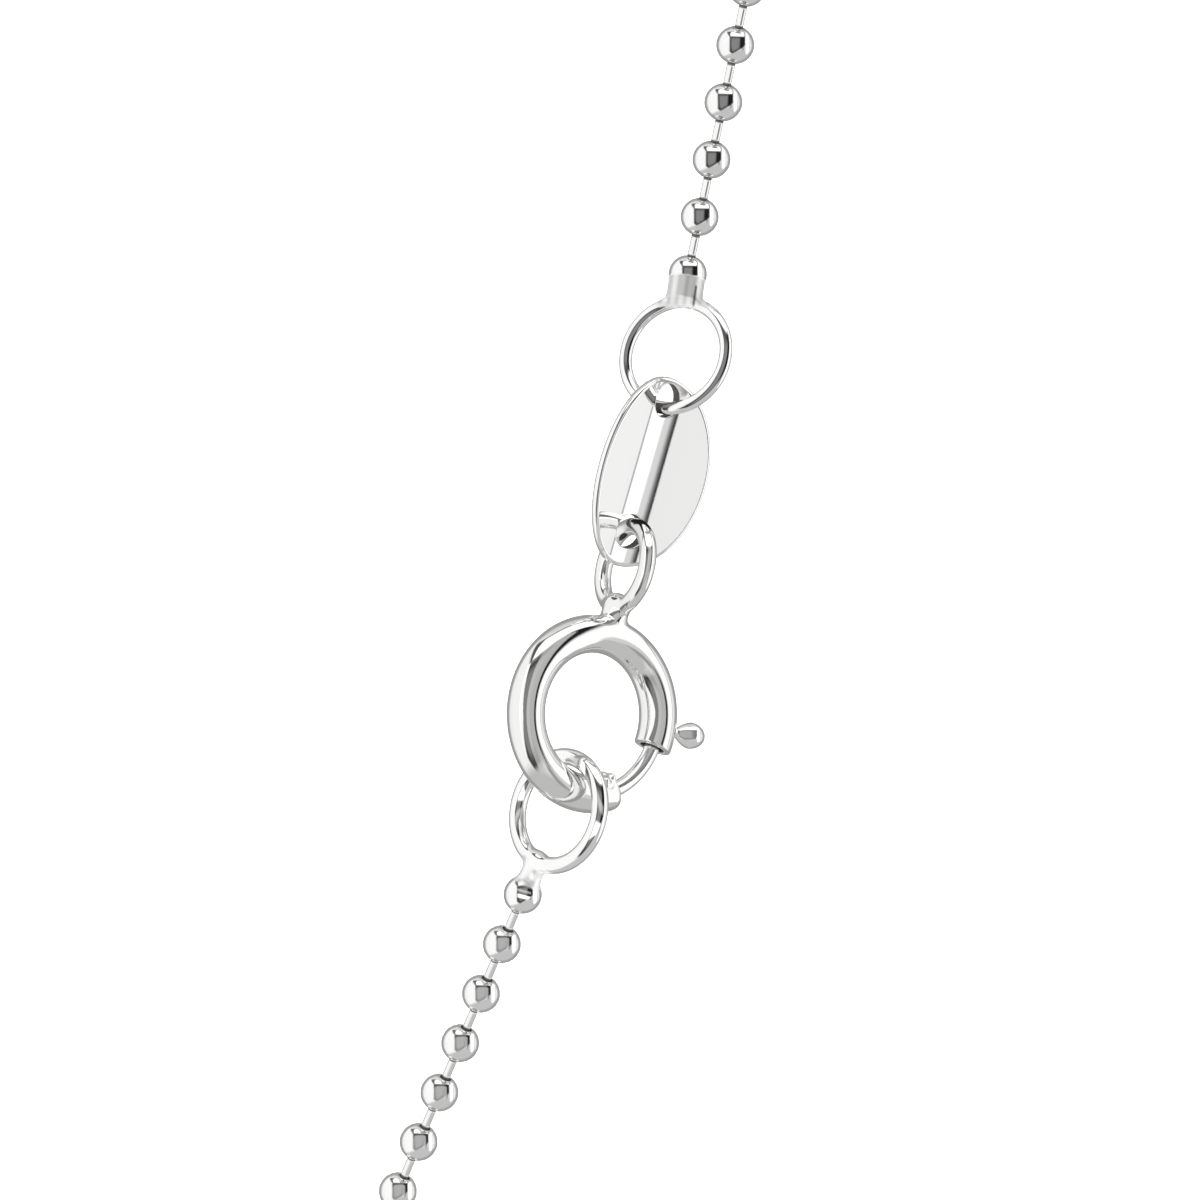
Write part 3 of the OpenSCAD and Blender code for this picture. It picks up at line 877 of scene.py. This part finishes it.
# %% What rides on what
for piece, node, body, slot in (
    (beads_below, "neck_chain", "necklace", "bead_chain"),
    (beads_above, "neck_chain", "necklace", "bead_chain"),
    (chain_pins, "neck_chain", "necklace", "bead_chain"),
    (upper_end, "upper_end_ring", "necklace", "end_rings"),
    (lower_end, "lower_end_ring", "necklace", "end_rings"),
    (tag, "oval_tag", "necklace", "tag"),
    (clasp, "clasp_ring", "necklace", "clasp"),
    (bolt, "clasp_bolt", "gate", "clasp_bolt"),
):
    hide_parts(node)
    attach(piece, body)
    piece.data.update()
    faces = sum(len(p.vertices) - 2 for p in piece.data.polygons)
    print(piece.name, "on", body, faces, "triangles")

# %% [markdown]
# ## The studio
#
# Silver has no look of its own: it shows the room. On a small ball the whole room
# appears, squeezed into a disc, so the room is laid out here in that disc's own
# measure, from -1 to 1 across and up. White walls stand at both sides, a dark opening
# is in front, where the camera looks in, and a long white softbox hangs over it.

# %% Shapes on the disc
ROOM_UP = in_model([0, 0, 1]) - CLASP_AT
ROOM_FRONT = CLASP_AT - in_model([0, 1, 0])
SPREAD_LEAST = 0.0001


def on_disc(front, up, right):
    """Where a direction shows on a ball's disc, across and up."""
    spread = ((front + 1.0).maths("MAXIMUM", SPREAD_LEAST) * 2.0).maths("SQRT")
    return right / spread, up / spread


def shape(place, corners, soft):
    """1 inside a shape on the disc, whose corners go round clockwise."""
    x, y = place
    mask = None
    for (x0, y0), (x1, y1) in zip(corners, corners[1:] + corners[:1]):
        size = math.hypot(x1 - x0, y1 - y0)
        depth = (x - x0) * ((y1 - y0) / size) + (y - y0) * ((x0 - x1) / size)
        side = depth.step_up(-soft, soft)
        mask = side if mask is None else mask * side
    return mask


def lay(base, level, mask):
    """Lays a level over what is there, inside a shape."""
    return base + (level - base) * mask


print("room faces", [round(v, 2) for v in ROOM_FRONT])

# %% [markdown]
# ## The room
#
# The walls are a base level with shapes laid over it, one after the other: the dim
# bench below, the streak of a window at the right, and the opening with its dark
# frame and softbox. A grey rim stands for the wall behind the necklace, which a ball
# shows only at its edge. The camera itself sees plain white.

# %% Room
SILL = [(0.51, -0.04), (0.36, -0.18), (-0.15, -0.46), (-0.3, -0.36)]
BENCH = [(-1.2, -0.82), (1.2, 0.1), (1.2, -1.2), (-1.2, -1.2)]
WALL_LEVEL, LEFT_DIMMER, CEILING_LEVEL = 1.02, 0.1, 0.72
BENCH_LEVEL, RIGHT_LEVEL, RIM_LEVEL, CAMERA_LEVEL = 0.56, 0.92, 0.36, 1.0
LEFT_EDGE, CEILING_EDGE, RIGHT_EDGE, RIM_EDGE = (-0.95, -0.6), (0.68, 0.78), (0.74, 0.75), (0.81, 0.91)
BENCH_SOFT = 0.08
# what it is, its level, the softness of its edge, and its corners
ROOM_SHAPES = (
    ("thin dark line beyond the streak", 0.25, 0.01,
        [(0.734, 1), (0.749, 1), (0.749, -1), (0.734, -1)]),
    ("white streak at the right", 1.2, 0.015,
        [(0.54, 0.8), (0.68, 0.7), (0.73, 0.3), (0.73, -0.35), (0.62, -0.5), (0.54, -0.45)]),
    ("grey edge of the streak", 0.7, 0.02,
        [(0.36, -0.02), (0.54, 0.1), (0.54, -0.32), (0.36, -0.3)]),
    ("darker edge beside it", 0.35, 0.03,
        [(0.34, -0.02), (0.45, 0.02), (0.45, -0.3), (0.34, -0.3)]),
    ("frame of the dark opening", 0.06, 0.035,
        [(-0.3, 0.43), (0.51, 0.43)] + SILL),
    ("dim room behind the opening", 0.24, 0.06,
        [(-0.2, 0.34), (0.24, 0.34), (0.2, -0.16), (-0.13, -0.34), (-0.2, -0.2)]),
    ("black cloth at its right", 0.012, 0.025,
        [(0.26, 0.43), (0.51, 0.43), (0.51, 0.0), (0.42, -0.1), (0.26, -0.18)]),
    ("dark frame of the softbox", 0.1, 0.025,
        [(-0.42, 0.69), (0.4, 0.735), (0.52, 0.62), (0.52, 0.42), (-0.3, 0.42), (-0.42, 0.6)]),
    ("softbox", 1.5, 0.025,
        [(-0.2, 0.67), (0.38, 0.69), (0.47, 0.61), (0.47, 0.44), (-0.24, 0.46), (-0.26, 0.6)]),
)


def studio_room():
    """The world as a room for mirrors, and plain white for the camera."""
    world = bpy.data.worlds.new("studio room")
    bpy.context.scene.world = world
    world.use_nodes = True
    tree = world.node_tree
    tree.nodes.clear()
    way = add_node(tree, "ShaderNodeTexCoord", output="Generated")

    def share_along(direction):
        sockets = {0: way, 1: tuple(direction)}
        return add_node(tree, "ShaderNodeVectorMath", {"operation": "DOT_PRODUCT"}, sockets, "Value")

    x, y = place = on_disc(share_along(ROOM_FRONT), share_along(ROOM_UP), share_along((1, 0, 0)))
    room = WALL_LEVEL - (1 - x.step_up(*LEFT_EDGE)) * LEFT_DIMMER
    room = lay(room, CEILING_LEVEL, y.step_up(*CEILING_EDGE))
    room = lay(room, BENCH_LEVEL, shape(place, BENCH, BENCH_SOFT))
    room = lay(room, RIGHT_LEVEL, x.step_up(*RIGHT_EDGE))
    for _, level, soft, corners in ROOM_SHAPES:
        room = lay(room, level, shape(place, corners, soft))
    room = lay(room, RIM_LEVEL, (x * x + y * y).maths("SQRT").step_up(*RIM_EDGE))
    seen = add_node(tree, "ShaderNodeLightPath", output="Is Camera Ray")
    level = lay(room, CAMERA_LEVEL, seen)
    shine = add_node(tree, "ShaderNodeBackground", None, {"Color": (1, 1, 1, 1), "Strength": level})
    tree.links.new(shine.output, tree.nodes.new("ShaderNodeOutputWorld").inputs["Surface"])


studio_room()
print(len(ROOM_SHAPES), "shapes in the room")

# %% [markdown]
# ## Cards and floor
#
# The pieces hang a little differently from one another, so what each mirrors differs
# too. A photographer holds cards up to steer that. Each card here is a clear sheet in
# front of the necklace with lit panes on it, and shows only in the pieces it is meant
# for. The floor is plain and pale, and has its own light.

# %% Cards and floor
CARD_AWAY, CARD_REACH, CARD_SOFT = 500, 1.7, 0.02
CARD_TOP = [(-0.34, 0.46), (0.51, 0.46)]
FLOOR_REACH, FLOOR_HEIGHT = 4.0, -0.19
FLOOR_TINT, FLOOR_ROUGHNESS = (0.95, 0.95, 0.95, 1), 0.9
FLOOR_LIGHT, FLOOR_LIGHT_ANGLE = 4, 1.0


def show_only_in(lamp, pieces):
    """Links a light to the pieces that it lights."""
    lit = bpy.data.collections.new(lamp.name + " pieces")
    for piece in pieces:
        lit.objects.link(piece)
    lamp.light_linking.receiver_collection = lit


def pale_floor():
    """A plain floor below the necklace, which no mirror shows, and its own light."""
    mesh = bpy.data.meshes.new("floor")
    sides = ((-1, -1), (1, -1), (1, 1), (-1, 1))
    corners = [(x * FLOOR_REACH, y * FLOOR_REACH, FLOOR_HEIGHT) for x, y in sides]
    mesh.from_pydata(corners, [], [(0, 1, 2, 3)])
    floor = bpy.data.objects.new("floor", mesh)
    bpy.context.scene.collection.objects.link(floor)
    material = bpy.data.materials.new("pale floor")
    material.use_nodes = True
    shader = material.node_tree.nodes["Principled BSDF"]
    shader.inputs["Base Color"].default_value = FLOOR_TINT
    shader.inputs["Roughness"].default_value = FLOOR_ROUGHNESS
    mesh.materials.append(material)
    floor.visible_glossy = False
    lamp = bpy.data.objects.new("overhead light", bpy.data.lights.new("overhead light", "SUN"))
    lamp.data.energy = FLOOR_LIGHT
    lamp.data.angle = FLOOR_LIGHT_ANGLE
    lamp.visible_glossy = False
    bpy.context.scene.collection.objects.link(lamp)
    show_only_in(lamp, (floor,))


def card(name, lit, *panes):
    """A clear sheet in front with lit panes on it, which shows only in the pieces that are named."""
    away = CARD_AWAY * MM
    lamp_data = bpy.data.lights.new(name, "AREA")
    lamp_data.shape = "SQUARE"
    lamp_data.size = 2 * CARD_REACH * away
    # with this power a pane's level counts like a level of the room
    lamp_data.energy = math.pi * lamp_data.size**2
    lamp_data.use_nodes = True
    tree = lamp_data.node_tree
    spot = add_node(tree, "ShaderNodeNewGeometry", output="Parametric")
    across = (add_node(tree, "ShaderNodeSeparateXYZ", None, {0: spot}, "X") - 0.5) * (2 * CARD_REACH)
    high = (add_node(tree, "ShaderNodeSeparateXYZ", None, {0: spot}, "Y") - 0.5) * (2 * CARD_REACH)
    distance = (across * across + high * high + 1.0).maths("SQRT")
    place = on_disc(distance ** -1, high / distance, across / distance)
    opening = shape(place, CARD_TOP + SILL, CARD_SOFT)
    glow = None
    for level, soft, corners in panes:
        pane = shape(place, corners, soft) * opening * level
        glow = pane if glow is None else glow + pane
    shine = add_node(tree, "ShaderNodeEmission", None, {"Strength": glow})
    tree.links.new(shine.output, tree.nodes["Light Output"].inputs["Surface"])
    lamp = bpy.data.objects.new(name, lamp_data)
    bpy.context.scene.collection.objects.link(lamp)
    lamp.location = Vector(CLASP_AT * MM + ROOM_FRONT * away)
    lamp.rotation_euler = (math.radians(90 - STRETCH_LEAN), 0, 0)
    lamp.visible_camera = False
    show_only_in(lamp, lit)


pale_floor()
# each pane is a level, the softness of its edge, and its corners
card(
    "clasp card", (clasp,),
    (1.0, 0.02, [(-0.34, 0.46), (0.04, 0.46), (-0.09, 0.12), (-0.09, -0.18), (0.0, -0.5), (-0.34, -0.5)]),
    (0.34, 0.02, [(0.03, 0.46), (0.24, 0.46), (0.24, -0.5), (0.03, -0.5)]),
    (0.5, 0.02, [(0.24, 0.46), (0.42, 0.46), (0.42, -0.5), (0.24, -0.5)]),
)
card("bolt card", (bolt,), (0.2, 0.03, [(-0.3, 0.46), (0.46, 0.46), (0.46, -0.5), (-0.3, -0.5)]))
card("tag card", (tag,), (0.85, 0.01, [(0.2, 0.3), (0.378, 0.3), (0.378, -0.46), (0.2, -0.46)]))
card("pin card", (chain_pins,), (0.8, 0.03, [(-0.34, 0.46), (0.12, 0.46), (0.12, -0.5), (-0.34, -0.5)]))
card(
    "lower bead card", (beads_below,),
    (0.22, 0.03, [(-0.24, 0.3), (0.1, 0.36), (0.24, 0.35), (0.24, -0.5), (-0.34, -0.5), (-0.34, 0.1)]),
    (0.42, 0.03, [(0.24, 0.35), (0.38, 0.3), (0.38, -0.5), (0.24, -0.5)]),
)
card(
    "lower ball card", (lower_end,),
    (0.35, 0.03, [(-0.3, 0.32), (0.42, 0.12), (0.42, 0.0), (-0.3, 0.2)]),
    (1.2, 0.02, [(-0.26, 0.05), (0.42, -0.14), (0.42, -0.32), (-0.26, -0.14)]),
)
print("cards and floor ready")

# %% [markdown]
# ## The camera
#
# The picture is a close-up through a long lens, from a little above. Its frame is
# 37 mm wide at the clasp. The plain view transform keeps white walls white.

# %% Camera
FRAME_W = 37.38
FRAME_AT = np.array([57.264, -1.783, -108.503])
CAMERA_AWAY = 1500
SENSOR_W = 36
camera_data = bpy.data.cameras.new("long lens")
camera = bpy.data.objects.new("long lens", camera_data)
bpy.context.scene.collection.objects.link(camera)
camera_data.sensor_width = SENSOR_W
camera_data.lens = SENSOR_W * CAMERA_AWAY / FRAME_W
camera.location = Vector((FRAME_AT + ROOM_FRONT * CAMERA_AWAY) * MM)
camera.rotation_euler = (math.radians(90 - STRETCH_LEAN), 0, 0)
bpy.context.scene.camera = camera
bpy.context.scene.view_settings.view_transform = "Standard"
print("lens", round(camera_data.lens), "mm")

# %% [markdown]
# ## Up to date
#
# The dressed pieces take the solid model's sizes, and the scene is brought up to date.

# %% Bring the scene up to date
bpy.context.view_layer.update()
